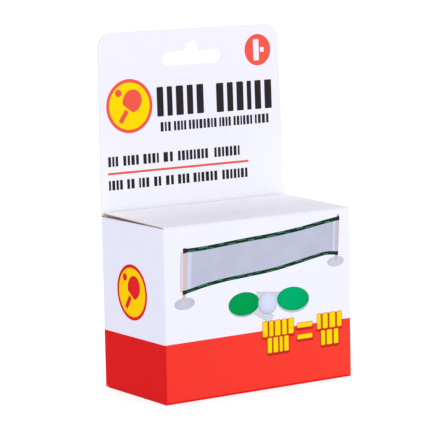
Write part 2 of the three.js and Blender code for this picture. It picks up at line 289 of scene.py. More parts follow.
ALONG_X, ALONG_Y, ALONG_Z = (1, 0, 0), (0, 1, 0), (0, 0, 1)
FACING = (1, 0, 1)  # across and up the front

WHITE = printed("white_coating", (222, 223, 241))
# Painted light and shade: the header's white is a lighter copy of the white coating, brightest at the
# header's foot and painted darker upwards.
HEADER_WHITE_PAINTED_LIGHT = printed("header_white_painted_light", (236, 237, 243), 0.1, ((0, 0, 74), ALONG_Z, (224, 223, 238), 50, 1))
# Painted light and shade: the lid's white is a lighter copy of the white coating, lightest at its rear by
# the header and painted darker towards the front.
LID_WHITE_PAINTED_LIGHT = printed("lid_white_painted_light", (241, 240, 246), 0.1, ((0, 25, 0), ALONG_Y, (221, 220, 231), 34, 1))
# Painted shade: the front's red is painted darker towards the front's left.
FRONT_RED_PAINTED_SHADE = printed("front_red_painted_shade", (233, 54, 39), 0.1, ((50, 0, 0), ALONG_X, (227, 48, 37), 90, 1))
# Painted shade: a darker copy of the red, used on the sides, the back and the bottom, where less light falls
# than on the front.
SIDE_RED_SHADED_COPY = printed("side_red_shaded_copy", (213, 20, 23), shine=0.02)
# Painted light: a paler copy of the red for the header's print, standing in for glare on the header.
HEADER_RED_PAINTED_GLARE = printed("header_red_painted_glare", (226, 81, 66))
# Painted shade: a darker copy of the badge's red for the side badge.
SIDE_BADGE_RED_SHADED_COPY = printed("side_badge_red_shaded_copy", (216, 29, 33), shine=0.02)
YELLOW = printed("yellow_ink", (237, 204, 0), shine=0.03)
# Painted light and shade: a copy of the yellow toned for the light that falls on the sides.
SIDE_YELLOW_PAINTED_LIGHT = printed("side_yellow_painted_light", (243, 200, 0), shine=0.01)
BLACK = printed("black_ink", (33, 27, 29))
ORANGE = printed("orange_ink", (222, 90, 18))
BURNT_ORANGE = printed("burnt_orange_ink", (182, 66, 22))
DEEP_RED = printed("deep_red_ink", (157, 23, 25))
DARK_RED = printed("dark_red_ink", (192, 33, 30))
SOFT_GREY = printed("soft_grey_ink", (198, 199, 213))
KRAFT = fibrous("kraft_inner_face", (178, 143, 120))
CUT_EDGE = fibrous("cut_board_edge", (242, 239, 246), streak=0.03)
RED_EDGE = fibrous("cut_red_board_edge", (190, 32, 30), streak=0.06)
# The lid's cut edge is partly the board's brown core and partly painted shade: darker and browner than the
# other cut edges, for the shaded gap under the lid.
LID_EDGE_PAINTED_SHADE = fibrous("lid_edge_with_painted_shade", (196, 164, 148), streak=0.05)


# --- Flat shapes for the print, in millimetres ---


def arc(cx, cy, radius, start, end, steps):
    """Points on an arc, in degrees."""
    angles = [radians(start + (end - start) * i / steps) for i in range(steps + 1)]
    return [(cx + radius * cos(a), cy + radius * sin(a)) for a in angles]


def oval(cx, cy, rx, ry=None, tilt=0.0, steps=48):
    ry = rx if ry is None else ry
    c, s = cos(radians(tilt)), sin(radians(tilt))
    angles = [2 * pi * i / steps for i in range(steps)]
    loop = [(rx * cos(a), ry * sin(a)) for a in angles]
    return [(cx + x * c - y * s, cy + x * s + y * c) for x, y in loop]


def rectangle(x0, y0, x1, y1):
    return [(x0, y0), (x1, y0), (x1, y1), (x0, y1)]


def rounded(x0, y0, x1, y1, radius, steps=4):
    left, right, low, high = x0 + radius, x1 - radius, y0 + radius, y1 - radius
    corners = enumerate(((right, high), (left, high), (left, low), (right, low)))
    return [p for i, (x, y) in corners for p in arc(x, y, radius, 90 * i, 90 * i + 90, steps)]


def mirrored(loop):
    return [(-x, y) for x, y in reversed(loop)]


def turned(loop, cx, cy, tilt):
    c, s = cos(radians(tilt)), sin(radians(tilt))
    return [(cx + (x - cx) * c - (y - cy) * s, cy + (x - cx) * s + (y - cy) * c) for x, y in loop]


def curve(points, steps=16):
    """Points on a Bezier curve through its first and last control points."""
    line = []
    for i in range(steps + 1):
        level, t = list(points), i / steps
        while len(level) > 1:
            level = [(a + (c - a) * t, b + (d - b) * t) for (a, b), (c, d) in zip(level, level[1:])]
        line.append(level[0])
    return line


def softened(points, cut, closed=False, steps=4):
    """A line with each corner rounded off over the given length."""
    count, line = len(points), []
    for i, here in enumerate(points):
        if not closed and i in (0, count - 1):
            line.append(here)
            continue
        ends = []
        for other in (points[i - 1], points[(i + 1) % count]):
            reach = dist(here, other)
            share = min(cut, reach * 0.45) / reach
            ends.append((here[0] + (other[0] - here[0]) * share, here[1] + (other[1] - here[1]) * share))
        line += curve([ends[0], here, ends[1]], steps)
    return line


def evenly(line, count=60):
    """The same line, with points at even steps from left to right."""
    xs, ys = zip(*line)
    places = np.linspace(xs[0], xs[-1], count)
    return [(float(x), float(y)) for x, y in zip(places, np.interp(places, xs, ys))]


def ribbon(line, width, start=0.0, end=1.0):
    """A band of constant width along a line, or along a share of it."""
    steps = max(3, ceil((end - start) * (len(line) - 1)))
    last = len(line) - 1

    def at(share):
        place = min(max(share, 0.0), 1.0) * last
        i = min(int(place), last - 1)
        (x0, y0), (x1, y1) = line[i], line[i + 1]
        reach = hypot(x1 - x0, y1 - y0)
        x, y = x0 + (x1 - x0) * (place - i), y0 + (y1 - y0) * (place - i)
        return x, y, -(y1 - y0) / reach, (x1 - x0) / reach

    stops = [at(start + (end - start) * i / steps) for i in range(steps + 1)]
    upper = [(x + nx * width / 2, y + ny * width / 2) for x, y, nx, ny in stops]
    lower = [(x - nx * width / 2, y - ny * width / 2) for x, y, nx, ny in stops]
    return lower + upper[::-1]


BLOCK_WIDTHS = (1.0, 0.82, 1.14, 0.94, 1.08, 0.7, 1.0, 1.12, 0.88)


def letter_blocks(x0, x1, y0, y1, count, gap, radius, first=0):
    """Plain blocks of uneven width in place of one word's letters."""
    widths = [BLOCK_WIDTHS[(first + i) % len(BLOCK_WIDTHS)] for i in range(count)]
    unit = (x1 - x0) / (sum(widths) + gap * (count - 1))
    blocks, x = [], x0
    for width in widths:
        blocks.append(rounded(x, y0, x + width * unit, y1, radius, 3))
        x += (width + gap) * unit
    return blocks


# --- Boards ---


def along_rail(runs, t):
    """Follows straight and bent runs of (length, turn): how far along, how far inwards, how far turned."""
    along = inward = angle = 0.0
    for length, turn in runs:
        step = min(t, length)
        if turn:
            radius = length / turn
            end = angle + turn * step / length
            along += radius * (sin(end) - sin(angle))
            inward += radius * (cos(angle) - cos(end))
            angle = end
        else:
            along += step * cos(angle)
            inward += step * sin(angle)
        t -= step
        if t <= 0:
            break
    return along, inward, angle


def bend_stops(runs, per_turn=10):
    """Where a rail needs to be cut so that its bends come out round."""
    stops, t = [], 0.0
    for length, turn in runs:
        if turn:
            count = max(2, ceil(per_turn * abs(turn) / (pi / 2)))
            stops += [t + length * i / count for i in range(count + 1)]
        t += length
    return stops


FLAT = ((1e4, 0.0),)


def folded(radius, angle):
    """A round fold: its length along the outer face, and its turn."""
    turn = radians(angle)
    return (radius * turn, turn)


class Face:
    """A board's outer face: u runs to the right as seen from outside, v runs up, and rails bend it."""

    def __init__(self, origin, across, up, left=FLAT, right=FLAT, rise=FLAT, v0=0.0, sides_end=1e4):
        self.origin, self.across, self.up = Vector(origin), Vector(across), Vector(up)
        self.out = self.across.cross(self.up)
        self.left, self.right, self.rise = left, right, rise
        self.v0, self.sides_end = v0, sides_end

    def at(self, u, v):
        sign, side = (-1.0, self.left) if u < 0 else (1.0, self.right)
        if v > self.sides_end:
            side = FLAT
        a, a_in, a_turn = along_rail(side, abs(u))
        b, b_in, b_turn = along_rail(self.rise, v - self.v0)
        place = self.origin + self.across * (sign * a) + self.up * b - self.out * (a_in + b_in)
        if b_turn:
            normal = self.out * cos(b_turn) + self.up * sin(b_turn)
        else:
            normal = self.out * cos(a_turn) + self.across * (sign * sin(a_turn))
        return place, normal

    def guides(self, low, high):
        """Lines across the board where it bends, as pairs of points."""
        (x0, y0), (x1, y1) = low, high
        level = [v + self.v0 for v in bend_stops(self.rise)]
        upright = bend_stops(self.right) + [-u for u in bend_stops(self.left)]
        lines = [((x0, v), (x1, v)) for v in level if y0 - 1e-6 <= v <= y1 + 1e-6]
        return lines + [((u, y0), (u, y1)) for u in upright if x0 - 1e-6 <= u <= x1 + 1e-6]


def inside(points, loop):
    """Which points lie inside a closed loop, by crossing count."""
    x, y = points[:, 0], points[:, 1]
    result = np.zeros(len(points), bool)
    for (x0, y0), (x1, y1) in zip(loop, loop[1:] + loop[:1]):
        crosses = (y0 > y) != (y1 > y)
        if y0 != y1:
            result ^= crosses & (x < (x1 - x0) * (y - y0) / (y1 - y0) + x0)
    return result


def cut_blank(face, outline, holes, prints):
    """Cuts a flat blank into triangles along its outline, holes, bends and print edges."""
    points, edges = [], []

    def add(line, closed):
        first = len(points)
        points.extend(Vector(p) for p in line)
        count = len(line)
        edges.extend((first + i, first + (i + 1) % count) for i in range(count if closed else count - 1))

    for loop in (outline, *holes, *(loop for _, loop in prints)):
        add(loop, True)
    xs, ys = zip(*outline)
    for line in face.guides((min(xs), min(ys)), (max(xs), max(ys))):
        add(line, False)
    flat, _, triangles, *_ = delaunay_2d_cdt(points, edges, [], 0, 1e-5, False)
    flat = np.array([tuple(p) for p in flat])
    triangles = np.array(triangles)
    centres = flat[triangles].mean(axis=1)
    keep = inside(centres, outline)
    for hole in holes:
        keep &= ~inside(centres, hole)
    triangles, centres = triangles[keep], centres[keep]
    ink = np.zeros(len(triangles), int)
    for number, (_, loop) in enumerate(prints, start=1):
        ink[inside(centres, loop)] = number
    used = np.unique(triangles)
    renumber = np.full(len(flat), -1)
    renumber[used] = np.arange(len(used))
    return flat[used], renumber[triangles], ink


def board(name, node, body, face, outline, skin, holes=(), prints=(), blend=None, edge=CUT_EDGE):
    """A piece of board standing for a CAD node: print outside, kraft inside, cut edges all round."""
    flat, triangles, inks = cut_blank(face, outline, holes, prints)
    ups = [face.at(u, v) for u, v in flat]
    outer = [place * MM for place, _ in ups]
    inner = [(place - normal * BOARD) * MM for place, normal in ups]
    count = len(outer)
    slots = list(dict.fromkeys((skin, KRAFT, edge, *(ink for ink, _ in prints))))
    outside = triangles.tolist()
    back = [triangle[::-1] for triangle in outside]
    faces = outside + [[i + count for i in triangle] for triangle in back]
    marks = [slots.index(prints[number - 1][0]) if number else 0 for number in inks] + [1] * len(back)
    normals = [ups[i][1] for triangle in outside for i in triangle]
    normals += [-ups[i][1] for triangle in back for i in triangle]
    directed = {(t[i], t[(i + 1) % 3]) for t in outside for i in range(3)}
    for a, b in sorted(directed):
        if (b, a) not in directed:
            faces.append((a, a + count, b + count, b))
            marks.append(2)
            wall = (inner[a] - outer[a]).cross(outer[b] - outer[a]).normalized()
            normals += [wall] * 4
    mesh = bpy.data.meshes.new(name)
    mesh.from_pydata(outer + inner, [], faces)
    for material in slots:
        mesh.materials.append(material)
    mesh.polygons.foreach_set("material_index", marks)
    mesh.polygons.foreach_set("use_smooth", [True] * len(faces))
    mesh.update()
    mesh.normals_split_custom_set(normals)
    piece = linked(name, mesh)
    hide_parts(node)
    if blend:
        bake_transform(piece)
    else:
        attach(piece, body)


def half_fold(extent, radius):
    """A wall's side rail, with half of the round fold that it shares with the next wall, and its length."""
    return ((extent - radius, 0.0), folded(radius, 45)), extent - radius + radius * pi / 4


# --- The print ---

BAND_TOP = 26.5
FRONT_BAND_TOP, FRONT_BAND_SLOPE = 26.88, 0.0053


def front_band(x):
    """The height of the red band on the front, where it rises a little to the right."""
    return FRONT_BAND_TOP + FRONT_BAND_SLOPE * x


def badge(cx, cy, radius, ring_ink, fill_ink):
    """A plain round badge with a bat and a ball on it."""
    ring, cut = 1.55, -0.12
    blade = [(x, max(y, cut)) for x, y in oval(0, 0.22, 0.40, 0.44)]
    grip = rectangle(-0.095, -0.72, 0.095, -0.2)

    def placed(loop):
        return turned([(cx + radius * x, cy + radius * y) for x, y in loop], cx, cy, -35)

    return [
        (ring_ink, oval(cx, cy, radius, steps=72)),
        (fill_ink, oval(cx, cy, radius - ring, steps=72)),
        (ring_ink, placed(grip)),
        (ring_ink, placed(blade)),
        (ring_ink, oval(cx - radius * 0.46, cy + radius * 0.5, radius * 0.14, steps=20)),
    ]


def header_print():
    """Title, lines, rule, badge and age mark, as plain shapes; heights are above the header's foot."""
    z = HEIGHT
    words = [(-19.0, 6.3, 42.4, 55.8, 5), (13.3, 44.2, 42.2, 55.6, 6)]

    def add_line(low, high, counts, *ends):
        words.extend((a, b, low, high, n) for a, b, n in zip(ends[::2], ends[1::2], counts))

    counts = (3, 4, 8, 4, 6, 4)
    add_line(35.5, 39.8, counts, -17.5, -12, -10.3, -3.6, -2.2, 13, 14.5, 20.9, 22.4, 32.9, 34.4, 42.1)
    counts = (3, 4, 4, 2, 8, 7)
    add_line(21.6, 26.1, counts, -45.8, -40.6, -37.9, -29.7, -27.3, -19, -16.5, -11.5, -8.7, 7.7, 11.2, 25.3)
    ends = (-45.9, -38.6, -36.3, -32.4, -30, -24.6, -22, -18.2, -15.6, -11.4, -9.1, -2.9)
    add_line(11.0, 15.4, (4, 2, 3, 2, 2, 3, 6, 7), *ends, -0.7, 12.4, 15.2, 29.3)
    prints = []
    for i, (x0, x1, low, high, count) in enumerate(words):
        gap, radius = (0.55, 0.4) if i < 2 else (0.47, 0.25)
        prints += [(BLACK, b) for b in letter_blocks(x0, x1, z + low, z + high, count, gap, radius, 2 * i)]
    prints.append((HEADER_RED_PAINTED_GLARE, rounded(-46.2, z + 17.95, 30.1, z + 18.95, 0.45)))
    prints += badge(-33.6, z + 48.2, 12.17, HEADER_RED_PAINTED_GLARE, YELLOW)
    x, y = 37.05, z + 69.7
    prints.append((HEADER_RED_PAINTED_GLARE, oval(x, y, 7.27, steps=64)))
    prints.append((HEADER_WHITE_PAINTED_LIGHT, rounded(x - 2.4, y - 4.9, x + 0.7, y + 4.9, 0.5)))
    prints.append((HEADER_WHITE_PAINTED_LIGHT, rounded(x + 1.4, y - 1.1, x + 3.5, y + 1.1, 0.3)))
    return prints


NET_PRINT = woven_print("printed_netting", (143, 145, 172), (198, 200, 219), 0.42)
TAPE_DARK = printed("printed_tape_dark", (10, 39, 29))
TAPE_LIGHT = printed("printed_tape_light", (39, 125, 76))
TAPE_END = printed("printed_tape_end", (33, 33, 47))
POST_PRINT = printed("printed_post", (202, 177, 174))
POST_PRINT_2 = printed("printed_post_right", (186, 172, 184))
HEM_PRINT = woven_print("printed_hem", (166, 170, 196), (210, 215, 233), 0.8)
FILM_PRINT = printed("printed_film", (192, 193, 211))
LEFT_BASE_FADE = ((-39.7, 0, 43.9), FACING, (170, 173, 190), 5.5, 1.5)
RIGHT_BASE_FADE = ((41.9, 0, 54), FACING, (176, 178, 194), 5, 1.5)
BASE_PRINT = printed("printed_base", (188, 189, 204), 0.1, LEFT_BASE_FADE)
BASE_PRINT_2 = printed("printed_base_right", (192, 193, 207), 0.1, RIGHT_BASE_FADE)
LEFT_BAT_FADE = ((-9, 0, 42), FACING, (0, 135, 66), 12, 1.5)
RIGHT_BAT_FADE = ((17, 0, 42), FACING, (0, 148, 90), 12, 1.5)
BAT_GREEN = printed("printed_bat_left", (0, 147, 76), 0.01, LEFT_BAT_FADE)
BAT_GREEN_2 = printed("printed_bat_right", (0, 161, 100), 0.01, RIGHT_BAT_FADE)
BAT_EDGE = printed("printed_bat_edge", (174, 184, 194))
GRIP_PRINT = printed("printed_grip", (193, 197, 209))
BALL_FADE = ((4.6, 0, 39.7), FACING, (177, 180, 205), 5.6, 2.5)
BALL_PRINT = printed("printed_ball", (201, 207, 232), 0.1, BALL_FADE)
BALL_EDGE = printed("printed_ball_edge", (164, 164, 188))


def tape(line, width):
    """A dark tape with thin lighter strands along it, and plain dark ends at the posts."""
    prints = [(TAPE_DARK, ribbon(line, width))]
    strands = 15
    for i in range(strands):
        uneven = sin(i * 2.4)
        start = 0.03 + 0.93 * (i + 0.1 * uneven) / strands
        end = start + 0.93 * (0.72 + 0.22 * sin(i * 1.7)) / strands
        shift = width * (0.22 if i % 2 else -0.2)
        shifted = [(x, y + shift) for x, y in line]
        prints.append((TAPE_LIGHT, ribbon(shifted, width * (0.24 + 0.08 * uneven), start, end)))
    prints.append((TAPE_END, ribbon(line, width * 1.2, 0.0, 0.02)))
    prints.append((TAPE_END, ribbon(line, width * 1.15, 0.985, 1.0)))
    return prints


def net_picture():
    """The picture of the set in use: netting between two posts on suction bases."""
    top = [(-40, 67), (-29, 67.1), (-18, 67.9), (-6, 68.7)]
    top += [(8, 69.4), (22.5, 70.7), (35, 72.5), (44.4, 73.6)]
    bottom = [(-40.6, 48.6), (-36.4, 49.3), (-29.8, 50.7), (-18.7, 52.1), (-6.8, 52.8)]
    bottom += [(7.7, 53.8), (22.4, 56.1), (34, 58.1), (38.5, 58.3), (43.4, 57.5)]
    top, bottom = evenly(softened(top, 5)), evenly(softened(bottom, 5))
    film = curve([(-40.6, 66.4), (-41.6, 58.0), (-41.4, 49.0)], 8)
    prints = [
        (BASE_PRINT, oval(-39.7, 43.85, 5.3, 2.65, 2)),
        (BASE_PRINT_2, oval(41.85, 54.0, 4.65, 2.35, 2)),
        (NET_PRINT, top + bottom[::-1]),
        (FILM_PRINT, ribbon(film, 1.1)),
        (HEM_PRINT, ribbon([(-36.6, 67.0), (-37.2, 50.0)], 2.1)),
        (HEM_PRINT, ribbon([(41.6, 72.8), (40.8, 58.2)], 1.2)),
        (POST_PRINT, ribbon([(-39.0, 68.4), (-40.0, 45.0)], 2.0)),
        (POST_PRINT_2, ribbon([(43.75, 75.4), (42.1, 53.9)], 1.5)),
    ]
    return prints + tape(top, 1.75) + tape(bottom, 1.6)


def bats_picture():
    """Two green bats lying crossed under a ball."""
    left_line, right_line = [(-3.4, 37.5), (6.4, 31.4)], [(12.0, 41.4), (-2.0, 43.0)]
    return [
        (BAT_EDGE, oval(18.0, 38.75, 8.85, 5.5, -6)),
        (BAT_EDGE, ribbon(right_line, 3.9)),
        (GRIP_PRINT, ribbon(right_line, 3.1)),
        (BAT_GREEN_2, oval(18.0, 39.6, 8.85, 5.4, -6)),
        (BAT_EDGE, oval(-8.5, 39.6, 8.4, 5.4)),
        (BAT_EDGE, ribbon(left_line, 4.1)),
        (GRIP_PRINT, ribbon(left_line, 3.3)),
        (BAT_GREEN, oval(-8.5, 40.2, 8.35, 5.25)),
        (BALL_EDGE, oval(4.2, 39.2, 5.15)),
        (BALL_PRINT, oval(4.3, 39.35, 4.9)),
    ]


def slogan_print():
    """Yellow blocks with a warm rim and a soft shadow, round two plain bars."""
    look = (0.42, 0.4)  # the blocks' gap, as a share of their width, and their corner radius
    groups = [
        letter_blocks(1.3, 18.0, 24.0, 30.8, 5, *look),
        letter_blocks(3.9, 15.1, 16.5, 23.2, 4, *look, 3),
        [rounded(20.1, 26.0, 28.3, 28.0, 0.3)],
        [rounded(20.1, 20.8, 28.3, 22.7, 0.3)],
        letter_blocks(31.2, 44.7, 24.1, 30.9, 4, *look, 5),
        letter_blocks(33.3, 42.8, 16.5, 23.1, 3, *look, 1),
    ]
    blocks = [block for group in groups for block in group]

    def grown(loop, by, down=0.0):
        xs, ys = zip(*loop)
        return rounded(min(xs) - by, min(ys) - by - down, max(xs) + by, max(ys) + by - down, 0.35 + by)

    def kept(side, loop):
        """The part of a loop on one side of the red band's top: min is below it and max above."""
        return [(x, side(y, front_band(x))) for x, y in loop]

    low = [b for b in blocks if min(p[1] for p in b) < front_band(b[0][0])]
    high = [b for b in blocks if max(p[1] for p in b) > front_band(b[0][0])]
    prints = [(SOFT_GREY, kept(max, grown(b, 0.35, 0.25))) for b in high]
    prints += [(DARK_RED, kept(min, grown(b, 0.75, 0.7))) for b in low]
    prints += [(DEEP_RED, kept(min, grown(b, 0.3, 0.55))) for b in low]
    prints += [(ORANGE, grown(b, 0.3)) for b in blocks]
    for group in groups:
        xs, ys = zip(*(p for block in group for p in block))
        prints.append((BURNT_ORANGE, rounded(min(xs) + 0.3, min(ys), max(xs) - 0.3, max(ys), 0.4)))
    prints += [(YELLOW, b) for b in blocks]
    return prints


# --- Carton ---

UP, DOWN = (0, 0, 1), (0, 0, -1)


def red_band(ink, height=BAND_TOP, slope=0.0):
    reach, rise = 80, 80 * slope
    return (ink, [(-reach, -5), (reach, -5), (reach, height + rise), (-reach, height - rise)])


EAR = 77.55  # the walls' corners beside the lid's crease stand a little higher than the rest of their tops
FOOT = 0.05  # and their lower corners end here


def make_front():
    left, left_end = half_fold(HALF_WIDTH, FRONT_LEFT_FOLD)
    right, x1 = half_fold(HALF_WIDTH, FRONT_RIGHT_FOLD)
    face, x0 = Face((0, FRONT_Y, 0), (1, 0, 0), UP, left=left, right=right), -left_end
    top, low = HEIGHT - FOLD_START, FOLD_START
    ear, cut = 0.38, 0.15
    left_foot = [(x0, cut), (x0 + cut, FOOT), (x0 + ear, FOOT), (x0 + ear, low)]
    right_foot = [(x1 - ear, low), (x1 - ear, FOOT), (x1 - cut, FOOT), (x1, cut)]
    right_ear = [(x1, EAR - cut), (x1 - cut, EAR), (x1 - ear, EAR), (x1 - ear, top)]
    left_ear = [(x0 + ear, top), (x0 + ear, EAR), (x0 + cut, EAR), (x0, EAR - cut)]
    outline = left_foot + right_foot + right_ear + left_ear
    prints = [red_band(FRONT_RED_PAINTED_SHADE, FRONT_BAND_TOP, FRONT_BAND_SLOPE)]
    prints += net_picture() + bats_picture() + slogan_print()
    board("front_wall", "front_panel", "carton", face, outline, WHITE, prints=prints)


def side_wall(word, side):
    """The right wall's back edge folds into the glue flap; every other upright edge is shared."""
    front_rail, front_end = half_fold(BACK_Y, FRONT_LEFT_FOLD if side < 0 else FRONT_RIGHT_FOLD)
    back_rail, back = half_fold(BACK_Y, REAR_FOLD)
    if side > 0:
        back = seam_high.y - DUST_FOLD
        back_rail = ((back, 0.0),)
    left, right = (back_rail, front_rail) if side < 0 else (front_rail, back_rail)
    face = Face((side * HALF_WIDTH, 0, 0), (0, side, 0), UP, left=left, right=right)
    front, low, top = -front_end, SIDE_FOOT, SIDE_TOP
    root, heel = dust_low.y - 0.15, dust_high.y + 0.15  # the dust flaps' folds lie between these
    outline = [(front, 0.15), (front + 0.2, FOOT), (root, FOOT), (root, low)]
    outline += [(heel, low), (heel, FOOT), (back - 0.2, FOOT), (back, 0.25)]
    outline += [(back, top - 0.2), (back - 0.7, top), (root, top)]
    outline += [(root, EAR - 0.1), (front + 0.3, EAR - 0.1), (front, EAR - 0.3)]
    outline = [(side * y, z) for y, z in outline]
    # The side's red band and badge use the red's painted-shade copies.
    band = red_band(SIDE_RED_SHADED_COPY, 26.82, -0.0126) if side > 0 else red_band(SIDE_RED_SHADED_COPY)
    prints = [band] + badge(side * 0.9, 46.5, 12.5, SIDE_BADGE_RED_SHADED_COPY, SIDE_YELLOW_PAINTED_LIGHT)
    board(word + "_wall", word + "_side_panel", "carton", face, outline, WHITE, prints=prints)


def make_glue_flap():
    start = seam_high.y - DUST_FOLD
    rail = (folded(DUST_FOLD, 90), (40.0, 0.0))
    face = Face((HALF_WIDTH, start, 0), (0, 1, 0), UP, right=rail)
    reach = HALF_WIDTH - DUST_FOLD - seam_low.x + DUST_FOLD * pi / 2
    low, top = seam_low.z, seam_high.z
    outline = [(0.0, low), (reach, low + 6), (reach, top - 6), (0.9, top), (0.0, top)]
    board("seam_flap", "glue_flap", "carton", face, outline, WHITE)


def header_outline(half, foot):
    """The header's sides, rounded corners and top, from its right foot to its left foot."""
    top = HEIGHT + HEADER_HEIGHT
    corner = half - HEADER_TAPER - HEADER_CORNER
    right = [(half, foot)] + arc(corner, top - HEADER_CORNER, HEADER_CORNER, 0, 90, 12)
    return right + mirrored(right)


def hang_hole(mirror):
    """The slot's bar and its hump, in the board's own left and right."""
    half, bar_height, bar_radius = 16.1, 6.2, 3.09
    height, radius = 10.7, 4.1
    x, low = mirror * 1.0, HEIGHT + 65.0
    bar = rounded(x - half, low, x + half, low + bar_height, bar_radius, 8)
    hump = arc(x, low + height - radius, radius, 0, 180, 14)
    return [bar, hump + [(x - radius, low + 3), (x + radius, low + 3)]]


CREASE_LENGTH = 0.5


def header_rail(sign, start, rest):
    """A rail that goes up from start, leans back at the lid's height, and goes on with the rest."""
    return ((HEIGHT - start - CREASE_LENGTH / 2, 0.0), (CREASE_LENGTH, sign * HEADER_LEAN), *rest)


def make_back():
    right, fold = half_fold(HALF_WIDTH, REAR_FOLD)
    rise = header_rail(-1, 0.0, FLAT)
    face = Face((0, BACK_Y, 0), (-1, 0, 0), UP, right=right, rise=rise, sides_end=HEIGHT - 0.6)
    edge, flat = HALF_WIDTH - 0.02, HALF_WIDTH - REAR_FOLD
    outline = [(-edge, 0.0), (flat, 0.0), (fold - 0.2, FOOT), (fold, 0.25)]
    outline += [(fold, HEIGHT - 2.2), (flat - 0.3, HEIGHT - 1.4), (flat - 0.3, HEIGHT - 0.7)]
    outline += header_outline(HALF_WIDTH, HEIGHT - 0.2) + [(-edge, HEIGHT - 0.3)]
    board("back_wall", "back_panel", "carton", face, outline, WHITE, hang_hole(-1), [red_band(SIDE_RED_SHADED_COPY)])


def make_header():
    start, half_gap = header_low.z, (BACK_Y - HEADER_Y) / 2
    bend = HEIGHT + HEADER_HEIGHT - half_gap
    over = folded(half_gap, 180)
    straight = (HEADER_HEIGHT - CREASE_LENGTH / 2 - half_gap, 0.0)
    face = Face((0, HEADER_Y, start), (1, 0, 0), UP, rise=header_rail(1, start, (straight, over)), v0=start)
    inner = HALF_WIDTH - 1.3
    sides = header_outline(HALF_WIDTH, HEIGHT + 0.1)
    split = len(sides) // 2
    fold_half, fold_top = HALF_WIDTH - HEADER_TAPER - HEADER_CORNER, bend + over[0]
    spread = fold_half + sqrt(HEADER_CORNER**2 - (HEADER_CORNER - half_gap) ** 2)
    fold = [(spread, bend), (fold_half, fold_top), (-fold_half, fold_top), (-spread, bend)]
    outline = [(-inner + 3, start), (inner - 3, start), (inner, start + 3), (inner, HEIGHT - 0.2)]
    outline += [p for p in sides[:split] if p[1] < bend] + fold + [p for p in sides[split:] if p[1] < bend]
    outline += [(-inner, HEIGHT - 0.2), (-inner, start + 3)]
    prints = header_print()
    board("header_front", "header_panel", "carton", face, outline, HEADER_WHITE_PAINTED_LIGHT, hang_hole(1), prints)


def closure(prefix, body, up):
    """A lid and its tuck flap, cut from one strip that starts on the front wall."""
    is_lid = up == UP
    turn = pi / 2 - (LID_TILT if is_lid else 0.0)
    crease, tuck_crease = LID_FOLD * tan(turn / 2), TUCK_FOLD * tan(TUCK_TURN / 2)
    fold, tuck_fold = (LID_FOLD * turn, turn), (TUCK_FOLD * TUCK_TURN, TUCK_TURN)
    lid = (LID_LENGTH - crease - tuck_crease, 0.0)
    rail = ((FOLD_START - crease, 0.0), fold, lid, tuck_fold, (TUCK_DEPTH, 0.0))
    origin = (0, FRONT_Y, HEIGHT - FOLD_START if is_lid else FOLD_START)
    face = Face(origin, (up[2], 0, 0), up, rise=rail)
    fold_from, fold_to, tuck_from, tuck_to, end = accumulate(length for length, _ in rail)
    half, tuck_half = HALF_WIDTH - 0.3, 43.5
    rear = tuck_from + tuck_crease
    relief = tuck_half + 0.35
    right = [(half - 0.35, 0.0), (half, fold_to), (half, rear), (relief, rear), (relief, tuck_from)]
    lid_outline = [(-half + 0.35, 0.0)] + right + mirrored(right[1:])

    def place(t):
        return tuple(face.at(0.0, t)[0] * MM)

    blend = ("carton", place(fold_from), place(fold_to))
    # The lid's skin carries painted light and shade, and its cut edge a painted shade.
    skin, edge = (LID_WHITE_PAINTED_LIGHT, LID_EDGE_PAINTED_SHADE) if is_lid else (SIDE_RED_SHADED_COPY, RED_EDGE)
    board(prefix + "_board", body + "_panel", body, face, lid_outline, skin, blend=blend, edge=edge)
    corner = 6.0
    right = [(tuck_half, tuck_to)] + arc(tuck_half - 1.5 - corner, end - corner, corner, 0, 90, 10)
    flap = [(-tuck_half, tuck_from), (tuck_half, tuck_from)] + right + mirrored(right)
    blend = (body, place(tuck_from), place(tuck_to))
    skin = WHITE if is_lid else SIDE_RED_SHADED_COPY
    board(prefix + "_tuck", body + "_tuck_flap", body + "_tuck", face, flap, skin, blend=blend)


def dust_flap(body, side, up):
    """A dust flap from its side wall's edge inwards, with a mitred front and a shouldered back."""
    node, way = body + "_flap", side * up[2]
    wall_z, skin, edge = (SIDE_TOP, WHITE, CUT_EDGE) if up == UP else (SIDE_FOOT, SIDE_RED_SHADED_COPY, RED_EDGE)
    rail = ((0.2, 0.0), folded(DUST_FOLD, 90), (60.0, 0.0))
    face = Face((side * HALF_WIDTH, 0, wall_z), (0, way, 0), up, rise=rail)
    root = 0.2 + DUST_FOLD * pi / 2
    reach = root + DUST_REACH - DUST_FOLD
    low, high = box_mm(node)
    front, tip_front = low.y, low.y + DUST_MITRE * DUST_REACH
    back, clear = high.y, high.y - 3.4
    corner = 4.0
    points = [(front + 0.2, 0.0), (front, root), (tip_front - 2.6, reach - corner)]
    points += [(tip_front + 0.3, reach - 1.0), (tip_front + 3.4, reach)]
    points += [(clear - corner, reach), (clear - 1.2, reach - 1.2), (clear, reach - corner)]
    points += [(clear, root + 5.9), (back, root + 4.9), (back, root), (back - 0.2, 0.0)]
    outline = [(way * y, v) for y, v in points]
    if way < 0:
        outline.reverse()
    start, end = face.at(0.0, 0.2)[0] * MM, face.at(0.0, root)[0] * MM
    blend = ("carton", tuple(start), tuple(end))
    board(node + "_board", node, body, face, outline, skin, blend=blend, edge=edge)


make_front()
side_wall("left", -1)
side_wall("right", 1)
make_glue_flap()
make_back()
make_header()
closure("lid", "lid", UP)
closure("base", "bottom", DOWN)
for sign, word in ((-1, "left"), (1, "right")):
    dust_flap(f"top_{word}_dust", sign, UP)
    dust_flap(f"bottom_{word}_dust", sign, DOWN)


# --- The set inside ---

